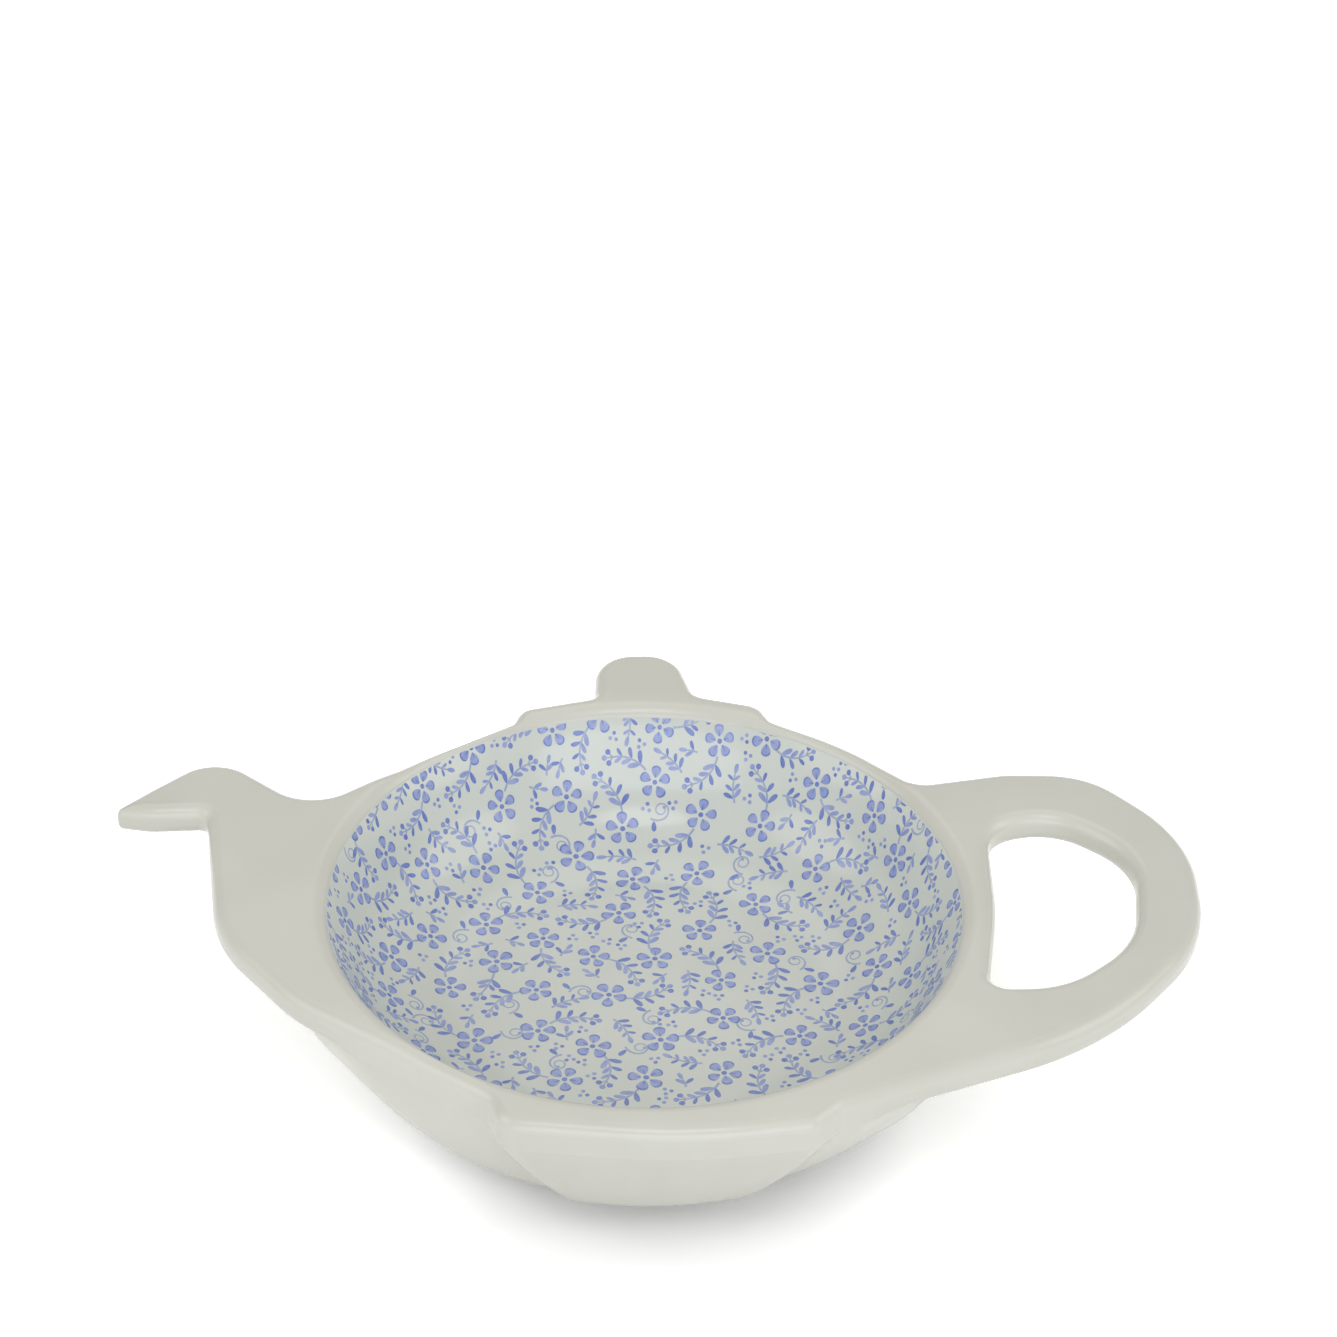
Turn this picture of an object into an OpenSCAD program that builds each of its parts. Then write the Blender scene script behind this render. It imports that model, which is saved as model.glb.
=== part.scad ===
// Tea bag rest: a glazed earthenware dish in the outline of a teapot, lying flat.
// The origin is on the table, under the middle of the whole outline. +X points along the handle, +Y
// towards the knob. All is drawn about the middle of the well, and solid() moves it to the origin.

/* [Dish] */
// Height of the ledge above the table
dish_h = 25; // [23:0.5:30]
// Radius of the teapot's shoulders, beside the lid
body_r = 49.8; // [49.4:0.1:52]
// Thickness of the ledge, the spout and the handle
plate_t = 5; // [4.4:0.1:6]
// Rounding of the outer edges
edge_r = 2; // [1.4:0.1:2.1]

/* [Well] */
// How far the well's mouth lies inside the shoulders' radius
mouth_gap = 0.1; // [0:0.1:1]
// Depth of the well below the ledge
well_depth = 19; // [15:0.5:19.5]
// Radius of the well's flat floor
floor_r = 27.5; // [24:0.5:29]
// Slope of the well's wall, in degrees
wall_slope = 62; // [58:1:66]
// Rounding from the well's wall to the ledge
mouth_round = 2.6; // [2.2:0.1:3]

/* [Lid and knob] */
// Width of the lid
lid_w = 37.6; // [34:0.2:42]
// How far the lid sits from the middle, towards the handle
lid_shift = 1; // [0:0.1:1.5]
// How far the lid stands out from the shoulders
lid_out = 2.6; // [2:0.1:5]
// Width of the knob
knob_w = 12.4; // [10:0.2:15]
// How far the knob sits from the middle, towards the handle
knob_shift = 0.6; // [0:0.1:2]
// How far the knob stands out from the lid
knob_out = 10.7; // [8:0.1:14]

/* [Spout] */
// Distance from the middle of the well to the tip of the spout
spout_reach = 80.5; // [76:0.5:88]
// Distance of the spout's crest from the long axis
spout_rise = 34.4; // [32:0.2:37]
// Rounding of the spout's tip
tip_r = 0.6; // [0.6:0.1:0.9]

/* [Handle] */
// Distance from the middle of the well to the outer edge of the handle
handle_reach = 83.4; // [80:0.2:90]
// Distance of the handle's upper edge from the long axis
handle_rise = 30.4; // [28:0.2:33]
// Width of the handle's bow at its outer end
handle_w = 9.2; // [8:0.2:12]
// Width of the rim between the shoulders' radius and the finger hole
hole_gap = 2.2; // [1.8:0.1:3.5]

/* [Base panel] */
// Width of the teapot's base at the ledge
base_w = 47; // [42:0.5:52]
// How far the base stands out from the shoulders' radius
base_out = 4.8; // [4:0.1:7]
// Width of the base panel at the bottom of the wall
toe_w = 27; // [24:0.5:34]
// How far the base panel stands out at the bottom of the wall
toe_out = 1.8; // [1:0.1:3]

/* [Foot] */
// Radius where the wall turns under to the foot
turn_r = 44; // [41:0.5:45]
// Height of that turn above the table
turn_h = 3.5; // [3:0.1:5]
// Outer radius of the foot ring
foot_r = 36; // [32:0.5:38]
// Width of the foot ring's sole
foot_w = 4; // [3:0.5:6]
// Height of the foot ring
foot_h = 2; // [1.2:0.1:2.4]

/* [Layers] */
// Thickness of the glaze
glaze_t = 0.3; // [0.2:0.05:0.4]
// Thickness of the printed layer under the glaze
print_t = 0.15; // [0.1:0.05:0.2]
// Height above the table at which the glaze is wiped from the foot
wipe_h = 0.6; // [0.4:0.1:0.9]

/* [Hidden] */
// Outline corners are shares of the sizes that they follow, with a rounding share and a count of
// segments: [across, along, rounding, segments].
// Longest step along the straight runs around the bowl
step = 0.125 * body_r;
// Narrowest flat of the ledge, where the mouth meets the outer edge
ledge_min = 0.15 * edge_r;

// Radius of the well's mouth, where the ledge starts
well_r = body_r - mouth_gap;
lid_y = body_r + lid_out;
lid_half = lid_w / 2;
knob_half = knob_w / 2;
base_y = body_r + base_out;
base_half = base_w / 2;
spout_span = spout_reach - body_r;
handle_span = handle_reach - body_r;
hole_x = body_r + hole_gap;
hole_span = handle_reach - handle_w - hole_x;

// Small vector helpers
function unit(v) = v / norm(v);
function outward(v) = [v.y, -v.x];
function polar(r, a) = [r * cos(a), r * sin(a)];
function angle_of(p) = atan2(p.y, p.x);
function full(a) = a < angle_start ? a + 360 : a;
function mix(a, b, share) = a + (b - a) * share;
function lift(p, z) = [p.x, p.y, z];
function on_circle(r, x) = sqrt(r * r - x * x);
function flat(lists) = [for (l = lists) each l];

// The outline's corners, anticlockwise from the notch above the handle
notch_shares = [1.025, 33, 0.08];
right_shoulder_shares = [1.012, 50, 0.95];
left_shoulder_shares = [0.987, 131, 0.95];
dip_shares = [0.02, 0.69, 0.22];
belly_shares = [1.145, 205, 0.5];
left_chin_shares = [1.01, 228.5, 0.8];
right_chin_shares = [1.175, -46.5, 1.2];
spout_shares = [
    [0.495, 1.085, 0.22, 5],
    [0.83, 0.82, 1.6, 2],
    [0.99, 0.68, 0, 4],
    [0.81, 0.645, 0.25, 2],
    [0.525, 0.655, 0.05, 3],
    [0.455, -0.2, 0.75, 4],
];
handle_shares = [
    [0.48, -1.06, 1.6, 4],
    [0.99, -0.34, 0.86, 4],
    [1, 0.45, 0.95, 4],
    [0.58, 0.985, 0.8, 4],
    [0.2, 1, 0.45, 2],
];
hole_shares = [
    [-0.11, -0.72, 0.13, 4],
    [0.015, -0.1, 3, 2],
    [0.03, 0.55, 0.29, 4],
    [0.49, 0.64, 0.6, 3],
    [1.02, 0.31, 0.68, 4],
    [0.92, -0.38, 0.86, 4],
    [0.385, -0.72, 0.88, 3],
];
// Direction of the toe's middle, a little towards the handle
toe_aim = 271.2;
// Share of the distance to the spout's tip that the rounding takes up near it
tip_share = 0.42;
function at_shoulder(s) = [polar(s[0] * body_r, s[1]), s[2] * body_r, 3];
function at_spout(s) =
    [[-body_r - s[0] * spout_span, s[1] * spout_rise], max(tip_r, s[2] * spout_rise), s[3]];
function at_handle(s) =
    [[body_r + s[0] * handle_span, s[1] * handle_rise], s[2] * handle_span, s[3]];
function at_hole(s) =
    [[hole_x + s[0] * hole_span, s[1] * handle_rise], s[2] * hole_span, s[3]];

lid_foot = lid_half + 0.6 * edge_r;
lid_foot_y = on_circle(body_r, lid_foot);
lid_corner_y = on_circle(lid_y, lid_half);
neck_y = lid_y - 0.2 * lid_out;
panel_corners = [
    [-base_half - 0.1 * edge_r, -0.841 * base_y],
    [-0.94 * base_half, -0.943 * base_y],
    [0.08 * base_w, -1.006 * base_y],
    [0.965 * base_half, -0.956 * base_y],
    [base_half + 1.5 * edge_r, -0.883 * base_y],
];
outline_corners = [
    [polar(notch_shares[0] * body_r, notch_shares[1]), notch_shares[2] * body_r, 4],
    at_shoulder(right_shoulder_shares),
    [[lid_shift + lid_foot, lid_foot_y], edge_r, 2],
    [[lid_shift + lid_half - 0.1 * edge_r, lid_corner_y], 3 * edge_r, 3],
    [[knob_shift + knob_half + 1.4 * edge_r, neck_y], 0.5 * knob_half, 2],
    [[knob_shift + knob_half, lid_y + knob_out], 0.98 * knob_half, 5, 0.7],
    [[knob_shift - knob_half, lid_y + knob_out], 0.98 * knob_half, 5, 0.7],
    [[knob_shift - knob_half - 0.3 * edge_r, neck_y - 0.15 * edge_r], 0.26 * knob_half, 2],
    [[lid_shift - lid_half, lid_corner_y - 0.15 * edge_r], 3 * edge_r, 3],
    [[lid_shift - lid_foot, lid_foot_y], edge_r, 2],
    at_shoulder(left_shoulder_shares),
    [[-body_r - dip_shares[0] * spout_span, dip_shares[1] * spout_rise], dip_shares[2] * spout_rise, 4],
    for (s = spout_shares) at_spout(s),
    [polar(belly_shares[0] * body_r, belly_shares[1]), belly_shares[2] * body_r, 2],
    [polar(left_chin_shares[0] * body_r, left_chin_shares[1]), left_chin_shares[2] * body_r, 2],
    [panel_corners[0], 2 * edge_r, 2],
    [panel_corners[1], 2.2 * edge_r, 3],
    [panel_corners[2], 1.6 * base_y, 3],
    [panel_corners[3], 1.3 * edge_r, 3],
    [panel_corners[4], 1.5 * edge_r, 2],
    [polar(right_chin_shares[0] * body_r, right_chin_shares[1]), right_chin_shares[2] * body_r, 2],
    for (s = handle_shares) at_handle(s),
];
hole_corners = [for (s = hole_shares) at_hole(s)];

// The arc that rounds corner b between its neighbours a and c
function arc(a, b, c) =
    let (
        u = unit(a[0] - b[0]),
        v = unit(c[0] - b[0]),
        half = acos(u * v) / 2,
        most = len(b) > 3 ? b[3] : 0.49,
        reach = min(b[1] / tan(half), most * norm(a[0] - b[0]), most * norm(c[0] - b[0])),
        r = reach * tan(half),
        middle = b[0] + unit(u + v) * r / sin(half),
        first = angle_of(b[0] + u * reach - middle),
        last = angle_of(b[0] + v * reach - middle),
        sweep = (last - first + 540) % 360 - 180
    )
    [for (k = [0:b[2]]) middle + polar(r, first + sweep * k / b[2])];
function arcs(c) =
    let (n = len(c))
    [for (i = [0:n - 1]) arc(c[(i + n - 1) % n], c[i], c[(i + 1) % n])];
// The run of outline from the middle of arc a to the middle of arc b
function run(all, a, b) =
    let (ha = (len(all[a]) - 1) / 2, hb = (len(all[b]) - 1) / 2, stop = b > a ? b : b + len(all))
    concat(
        [for (k = [ha:len(all[a]) - 1]) all[a][k]],
        [for (i = [a + 1:1:stop - 1]) each all[i % len(all)]],
        [for (k = [0:hb]) all[b][k]]
    );
function filled(p) = [
    for (i = [0:len(p) - 2])
        let (n = max(1, round(norm(p[i + 1] - p[i]) / step)))
        for (k = [0:n - 1]) mix(p[i], p[i + 1], k / n),
    p[len(p) - 1],
];

outer_arcs = arcs(outline_corners);
hole_arcs = arcs(hole_corners);
// Around the bowl, with the knob, the spout and the handle's bow as runs of their own
back_right = filled(run(outer_arcs, 0, 4));
knob = run(outer_arcs, 4, 7);
back_left = filled(run(outer_arcs, 7, 11));
spout = run(outer_arcs, 11, 18);
front = filled(run(outer_arcs, 18, 25));
bow = run(outer_arcs, 25, 0);
hole_bowl = filled(run(hole_arcs, 0, 2));
hole_bow = run(hole_arcs, 2, 0);
tip = outline_corners[14][0];
// Where the wall of the well meets the rounding of its mouth
wall_top = well_r - mouth_round * sin(wall_slope);
edge_xs = [for (a = outer_arcs) for (p = a) p.x];
edge_ys = [for (a = outer_arcs) for (p = a) p.y];
middle = [(min(edge_xs) + max(edge_xs)) / 2, (min(edge_ys) + max(edge_ys)) / 2, 0];

// A column of the edge is [place, outward direction, rounding, how far the underside tucks in]
function columns(p, before, after, tuck) = [
    for (i = [0:len(p) - 1])
        let (
            a = i == 0 ? before[len(before) - 2] : p[i - 1],
            c = i == len(p) - 1 ? after[1] : p[i + 1],
            from_end = min(i, len(p) - 1 - i)
        )
        [
            p[i],
            unit(outward(unit(p[i] - a) + unit(c - p[i]))),
            min(edge_r, max(0.7 * tip_r, tip_share * norm(p[i] - tip)), norm(p[i]) - wall_top - 2 * ledge_min),
            tuck ? 1 : max(0, 1 - from_end / 4),
        ]
];
back_right_cols = columns(back_right, bow, knob, false);
knob_cols = columns(knob, back_right, back_left, true);
back_left_cols = columns(back_left, knob, spout, false);
spout_cols = columns(spout, back_left, front, true);
front_cols = columns(front, spout, bow, false);
bow_cols = columns(bow, front, back_right, true);
hole_bowl_cols = columns(hole_bowl, hole_bow, hole_bow, false);
hole_bow_cols = columns(hole_bow, hole_bowl, hole_bowl, true);

// The section of the well: its floor, the curve up to the wall, the wall and the mouth's rounding
wall_reach = well_r - mouth_round * sin(wall_slope) - floor_r;
wall_rise = well_depth - mouth_round * (1 - cos(wall_slope));
curve_r = (wall_reach * tan(wall_slope) - wall_rise)
    / (sin(wall_slope) * tan(wall_slope) - 1 + cos(wall_slope));
floor_z = dish_h - well_depth;
curve_steps = 4;
mouth_steps = 2;
function curve_point(a, t) =
    [floor_r + (curve_r + t) * sin(a), floor_z + curve_r - (curve_r + t) * cos(a)];
function mouth_point(a, t) =
    [well_r - (mouth_round - t) * sin(a), dish_h - mouth_round + (mouth_round - t) * cos(a)];
function well_section(t) = concat(
    [for (k = [0:curve_steps]) curve_point(wall_slope * k / curve_steps, t)],
    [mouth_point(wall_slope, t)]
);
// Slope of the mouth's rounding at radius r, level outside the well
function mouth_slope(r) = asin(max(0, min(1, (well_r - r) / mouth_round)));

// Edge columns as lists of points, t below the glazed surface
rim_top = [90, 50, 10];
rim_low = [-45, -90];
function drop(col) = mouth_round * (1 - cos(mouth_slope(norm(col[0] - col[2] * col[1]))));
// The edge turns only as far as its rounding reaches inwards, so it stays a ridge near the spout's tip
function inset(col, a, t) = t + (1 - t / col[2]) * edge_r * (1 - cos(a));
function rim(col, t) =
    let (turn = acos(1 - col[2] / edge_r) / 90, rise = edge_r - drop(col) - t)
    concat(
        [for (a = rim_top) lift(col[0] - col[1] * inset(col, a * turn, t), dish_h - edge_r + rise * sin(a * turn))],
        [
            for (a = rim_low)
                lift(
                    col[0] - col[1] * mix(t, inset(col, a * turn, t), col[3]),
                    dish_h - plate_t + edge_r + (edge_r - t) * sin(a * turn)
                )
        ]
    );
function rims(cols, t) = [for (c = cols) rim(c, t)];
function tops(cols, t) = [for (c = cols) rim(c, t)[0]];
function lows(cols, t) = [for (c = cols) rim(c, t)[len(rim_top) + len(rim_low) - 1]];

// Points between two columns, where the spout or the handle grows out of the bowl
function turned(a, b) = b < a ? b + 360 : b;
function root(p, q, n) =
    let (a = angle_of(p), b = turned(a, angle_of(q)))
    [for (k = [1:n - 1]) lift(polar(mix(norm([p.x, p.y]), norm([q.x, q.y]), k / n), mix(a, b, k / n)), p.z)];
knob_root = 3;
spout_root = 7;
handle_root = 3;
function last(l) = l[len(l) - 1];
// The loop around the bowl through the columns' points, top or low
function bowl_loop(r, l, f, h) = concat(
    r, root(last(r), l[0], knob_root),
    l, root(last(l), f[0], spout_root),
    f, root(last(f), h[0], handle_root),
    h, root(last(h), r[0], handle_root)
);
function top_loop(t) =
    bowl_loop(tops(back_right_cols, t), tops(back_left_cols, t), tops(front_cols, t), tops(hole_bowl_cols, t));
function low_loop(t) =
    bowl_loop(lows(back_right_cols, t), lows(back_left_cols, t), lows(front_cols, t), lows(hole_bowl_cols, t));

angle_start = angle_of(top_loop(0)[0]) - 1;
loop_angles = [for (p = top_loop(0)) full(angle_of(p))];
function ring(r, z) = [for (a = loop_angles) lift(polar(r, a), z)];

// The well's rings, from the floor to the flat of the ledge
function print_rings(t) = [for (s = well_section(t)) ring(s.x, s.y)];
function mouth_rings(t) =
    let (deck = top_loop(t))
    [
        for (k = [1:mouth_steps])
            [
                for (i = [0:len(deck) - 1])
                    let (
                        crest = mouth_slope(norm([deck[i].x, deck[i].y]) - ledge_min),
                        s = mouth_point(mix(wall_slope, crest, k / mouth_steps), t)
                    )
                    lift(polar(s.x, loop_angles[i]), s.y)
            ],
        deck,
    ];

// The outside, from the underside of the ledge to the foot, with the base panel at the front
panel_left = full(angle_of(panel_corners[0]));
corner_left = full(angle_of(panel_corners[1]));
corner_right = full(angle_of(panel_corners[3]));
panel_right = full(angle_of(panel_corners[4]));
front_left = full(angle_of(front[0]));
front_right = full(angle_of(last(front)));
toe_half = asin(toe_w / 2 / turn_r);
toe_angles = [
    [front_left, front_left], [panel_left, toe_aim - toe_half],
    [panel_right, toe_aim + toe_half], [front_right, front_right],
];
toe_outs = [[panel_left, 0], [corner_left, toe_out], [corner_right, toe_out], [panel_right, 0]];
function low_angle(a) = a > front_left && a < front_right ? lookup(a, toe_angles) : a;
function low_out(a) = a > panel_left && a < panel_right ? lookup(a, toe_outs) : 0;
under_share = 0.92;
function bulged(p, q) = mix(p, q, 0.55) + lift(unit([p.x, p.y]), 0) * 0.02 * body_r;
function outside_rings(t) =
    let (
        upper = low_loop(t),
        turn = [for (a = loop_angles) lift(polar(turn_r + low_out(a) - t, low_angle(a)), turn_h + t / 2)],
        under = [
            for (a = loop_angles)
                lift(polar(under_share * turn_r + low_out(a) / 2, low_angle(a)), mix(foot_h, turn_h, 0.15) + t)
        ],
        foot = foot_ring(foot_r - t, foot_h + t)
    )
    [upper, [for (i = [0:len(upper) - 1]) bulged(upper[i], turn[i])], turn, under, foot];
inner_r = foot_r - foot_w;
function foot_ring(r, z) = [for (a = loop_angles) lift(polar(r, low_angle(a)), z)];

// Strips of triangles. Rings run anticlockwise, and their list runs from the well outwards and under.
function quad(a, b, c, d) = [[a, b, c], [a, c, d]];
function strip(p, q, closed) =
    let (n = len(p))
    flat([for (i = [0:n - (closed ? 1 : 2)]) quad(p[i], q[i], q[(i + 1) % n], p[(i + 1) % n])]);
function strips(rings, closed = true) =
    flat([for (k = [0:len(rings) - 2]) strip(rings[k], rings[k + 1], closed)]);
function fan(middle, p) = [for (i = [0:len(p) - 1]) [middle, p[i], p[(i + 1) % len(p)]]];
function flipped(tris) = [for (f = tris) [f[0], f[2], f[1]]];
function rows(cols, t) = let (r = rims(cols, t)) [for (k = [0:len(r[0]) - 1]) [for (c = r) c[k]]];
function edge(cols, t) = strips(rows(cols, t), false);

// Flat faces of the knob, the spout and the handle, cut into triangles at their shortest diagonals
function side(a, b, c) = (b.x - a.x) * (c.y - a.y) - (b.y - a.y) * (c.x - a.x);
function covers(a, b, c, p) = side(a, b, p) >= 0 && side(b, c, p) >= 0 && side(c, a, p) >= 0;
function is_ear(p, ids, k) =
    let (n = len(ids), before = (k + n - 1) % n, after = (k + 1) % n,
         a = p[ids[before]], b = p[ids[k]], c = p[ids[after]])
    side(a, b, c) > 0
    && len([for (j = [0:n - 1]) if (j != before && j != k && j != after && covers(a, b, c, p[ids[j]])) j]) == 0;
function diagonal(p, ids, k) =
    let (n = len(ids))
    norm(p[ids[(k + n - 1) % n]] - p[ids[(k + 1) % n]]);
function cut_up(p, ids) =
    len(ids) == 3 ? [ids] :
    let (
        n = len(ids),
        ears = [for (k = [0:n - 1]) if (is_ear(p, ids, k)) [diagonal(p, ids, k), k]],
        best = min([for (e = ears) e[0]]),
        k = [for (e = ears) if (e[0] == best) e[1]][0]
    )
    concat(
        [[ids[(k + n - 1) % n], ids[k], ids[(k + 1) % n]]],
        cut_up(p, [for (j = [0:n - 1]) if (j != k) ids[j]])
    );
function every_other(l) = [for (i = [0:2:len(l) - 1]) l[i]];
function reversed(l) = [for (i = [len(l) - 1:-1:0]) l[i]];
function branch(b, s, f, n) = concat(s, reversed(root(last(b), f[0], n)));
function bridge(r, f, w, h, i) = concat(
    w, reversed(root(last(h), r[0], handle_root)),
    i, reversed(root(last(f), h[0], handle_root))
);
function knob_top(t) = branch(tops(back_right_cols, t), tops(knob_cols, t), tops(back_left_cols, t), knob_root);
function knob_low(t) = branch(lows(back_right_cols, t), lows(knob_cols, t), lows(back_left_cols, t), knob_root);
function spout_top(t) = branch(tops(back_left_cols, t), tops(spout_cols, t), tops(front_cols, t), spout_root);
function spout_low(t) = branch(lows(back_left_cols, t), lows(spout_cols, t), lows(front_cols, t), spout_root);
function handle_top(t) = bridge(
    tops(back_right_cols, t), tops(front_cols, t), tops(bow_cols, t), tops(hole_bowl_cols, t), tops(hole_bow_cols, t)
);
function handle_low(t) = bridge(
    lows(back_right_cols, t), lows(front_cols, t), lows(bow_cols, t), lows(hole_bowl_cols, t), lows(hole_bow_cols, t)
);
function cuts(p) = let (q = [for (v = p) [v.x, v.y]]) cut_up(q, [for (i = [0:len(q) - 1]) i]);
knob_cuts = cuts(knob_top(0));
spout_cuts = cuts(spout_top(0));
handle_cuts = cuts(handle_top(0));
function patch(p, cuts) = [for (c = cuts) [for (k = c) p[k]]];

// The skin from the well's mouth over the edges, the spout and the handle to the foot
function skin(t) = concat(
    strips(concat([last(print_rings(t))], mouth_rings(t))),
    edge(back_right_cols, t), edge(knob_cols, t), edge(back_left_cols, t), edge(spout_cols, t),
    edge(front_cols, t), edge(bow_cols, t), edge(hole_bowl_cols, t), edge(hole_bow_cols, t),
    patch(knob_top(t), knob_cuts), patch(spout_top(t), spout_cuts), patch(handle_top(t), handle_cuts),
    flipped(patch(knob_low(t), knob_cuts)), flipped(patch(spout_low(t), spout_cuts)),
    flipped(patch(handle_low(t), handle_cuts)),
    strips(outside_rings(t))
);
function well_skin(t) = concat(fan([0, 0, floor_z - t], print_rings(t)[0]), strips(print_rings(t)));

module solid(tris) {
    translate(-middle)
        polyhedron(
            points = flat(tris),
            faces = [for (i = [0:len(tris) - 1]) [3 * i, 3 * i + 2, 3 * i + 1]],
            convexity = 8
        );
}

// The biscuit casting: bowl, ledge, spout, handle, lid, knob, base panel and bare foot ring
module dish_body() {
    t = glaze_t;
    print_edge = [last(print_rings(t + print_t)), last(print_rings(t))];
    foot = [
        last(outside_rings(t)), foot_ring(foot_r - t, 0), foot_ring(inner_r, 0),
        foot_ring(inner_r, foot_h + t),
    ];
    color("ivory")
        solid(concat(
            well_skin(t + print_t), strips(print_edge), skin(t), strips(foot),
            flipped(fan([0, 0, foot_h + t], last(foot)))
        ));
}

// The transfer-printed layer that lines the well
module floral_print() {
    edge_band = [last(print_rings(glaze_t)), last(print_rings(glaze_t + print_t))];
    color("cornflowerblue")
        solid(concat(
            well_skin(glaze_t), strips(edge_band), flipped(well_skin(glaze_t + print_t))
        ));
}

// The glaze, a glassy skin over everything but the foot's sole and the lowest part of its sides
module glaze_coat() {
    recess = [
        for (r = [[inner_r, foot_h + glaze_t], [inner_r, wipe_h], [inner_r - glaze_t, wipe_h], [inner_r - glaze_t, foot_h]])
            every_other(foot_ring(r[0], r[1]))
    ];
    ends = [last(outside_rings(0)), foot_ring(foot_r, wipe_h), foot_ring(foot_r - glaze_t, wipe_h),
            last(outside_rings(glaze_t))];
    color("oldlace", 0.35)
        solid(concat(
            well_skin(0), skin(0), strips(ends), flipped(skin(glaze_t)), flipped(well_skin(glaze_t)),
            fan([0, 0, foot_h + glaze_t], recess[0]), strips(recess), flipped(fan([0, 0, foot_h], recess[3]))
        ));
}

dish_body();
floral_print();
glaze_coat();
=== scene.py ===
"""Tea bag rest: a glazed earthenware dish in the outline of a teapot, with a blue floral print in its well.

Sizes are in millimetres and turned to metres where a mesh is made. The outline's numbers are those of the
part's source, about the middle of the well.
"""
import math
import random

import bpy
from mathutils import Matrix, Vector


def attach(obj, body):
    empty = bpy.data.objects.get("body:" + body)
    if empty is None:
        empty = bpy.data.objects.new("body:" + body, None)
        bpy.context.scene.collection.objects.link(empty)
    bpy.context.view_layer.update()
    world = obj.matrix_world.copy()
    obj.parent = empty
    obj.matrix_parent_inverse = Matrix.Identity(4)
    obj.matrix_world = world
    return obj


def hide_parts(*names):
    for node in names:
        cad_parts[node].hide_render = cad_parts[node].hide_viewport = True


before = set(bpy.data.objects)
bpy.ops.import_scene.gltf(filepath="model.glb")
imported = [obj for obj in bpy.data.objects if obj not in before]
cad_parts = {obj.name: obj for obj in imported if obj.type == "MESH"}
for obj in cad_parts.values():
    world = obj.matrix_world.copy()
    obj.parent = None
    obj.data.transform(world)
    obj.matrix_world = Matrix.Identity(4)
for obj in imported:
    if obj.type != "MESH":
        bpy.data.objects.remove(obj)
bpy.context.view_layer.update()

MM = 0.001
# The middle of the well, in the part's frame
WELL = Vector((-1.846, -4.436, 0.0))

# Dish
DISH_H = 25.0
BODY_R = 49.8
PLATE_T = 5.0
EDGE_R = 2.0
# Well
WELL_R = 49.7
WELL_DEPTH = 19.0
FLOOR_R = 27.5
WALL_SLOPE = math.radians(62.0)
MOUTH_ROUND = 2.6
# Lid and knob
LID_Y = BODY_R + 2.6
LID_HALF = 18.8
LID_SHIFT = 1.0
KNOB_HALF = 6.2
KNOB_SHIFT = 0.6
KNOB_TOP = LID_Y + 10.7
# Spout
SPOUT_SPAN = 80.5 - BODY_R
SPOUT_RISE = 34.4
TIP_R = 0.6
# Handle
HANDLE_SPAN = 83.4 - BODY_R
HANDLE_RISE = 30.4
HOLE_X = BODY_R + 2.2
HOLE_SPAN = 83.4 - 9.2 - HOLE_X
# Base panel
BASE_Y = BODY_R + 4.8
BASE_HALF = 23.5
TOE_HALF = 13.5
TOE_OUT = 1.8
# Direction of the toe's middle, a little towards the handle
TOE_AIM = math.radians(271.2)
# Foot
TURN_R = 44.0
TURN_H = 3.5
FOOT_R = 36.0
FOOT_W = 4.0
FOOT_H = 2.0
# The bare sole reaches this high
WIPE_H = 0.6

# Spacing of the outline's points, the angle between an arc's points, and the spacing across a branch's root
STEP = 1.1
ARC_STEP = math.radians(7.0)
ROOT_STEP = 1.4
# Around the bowl, the underside's rounding fades into the wall over this length from a branch
FADE = 12.0
# The fillet where the wall meets a branch's underside: how far it stands out, and its share of the wall
FLARE = 1.6
FLARE_SHARE = 0.14
# How much the wall swells between the ledge and the turn
BULGE = 0.02 * BODY_R


def polar(r, degrees):
    """A point of the plan at a radius and a direction."""
    a = math.radians(degrees)
    return Vector((r * math.cos(a), r * math.sin(a)))


def on_circle(r, x):
    """How far back a circle is at x to the side."""
    return math.sqrt(r * r - x * x)


def scaled(shares, x0, dx, dy, dr, least=0.0):
    """Corners from shares of the sizes that they follow: across, along and rounding."""
    return [(Vector((x0 + s[0] * dx, s[1] * dy)), max(least, s[2] * dr)) for s in shares]


lid_foot = LID_HALF + 0.6 * EDGE_R
lid_foot_y = on_circle(BODY_R, lid_foot)
lid_corner_y = on_circle(LID_Y, LID_HALF)
neck_y = LID_Y - 0.52
PANEL = [
    Vector((-BASE_HALF - 0.1 * EDGE_R, -0.841 * BASE_Y)),
    Vector((-0.94 * BASE_HALF, -0.943 * BASE_Y)),
    Vector((0.16 * BASE_HALF, -1.006 * BASE_Y)),
    Vector((0.965 * BASE_HALF, -0.956 * BASE_Y)),
    Vector((BASE_HALF + 1.5 * EDGE_R, -0.883 * BASE_Y)),
]
SPOUT_CORNERS = scaled(
    [(0.495, 1.085, 0.22), (0.83, 0.82, 1.6), (0.99, 0.68, 0), (0.81, 0.645, 0.25), (0.525, 0.655, 0.05),
     (0.455, -0.2, 0.75)],
    -BODY_R, -SPOUT_SPAN, SPOUT_RISE, SPOUT_RISE, TIP_R)
HANDLE_CORNERS = scaled(
    [(0.48, -1.06, 1.6), (0.99, -0.34, 0.86), (1, 0.45, 0.95), (0.58, 0.985, 0.8), (0.2, 1, 0.45)],
    BODY_R, HANDLE_SPAN, HANDLE_RISE, HANDLE_SPAN)
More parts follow.
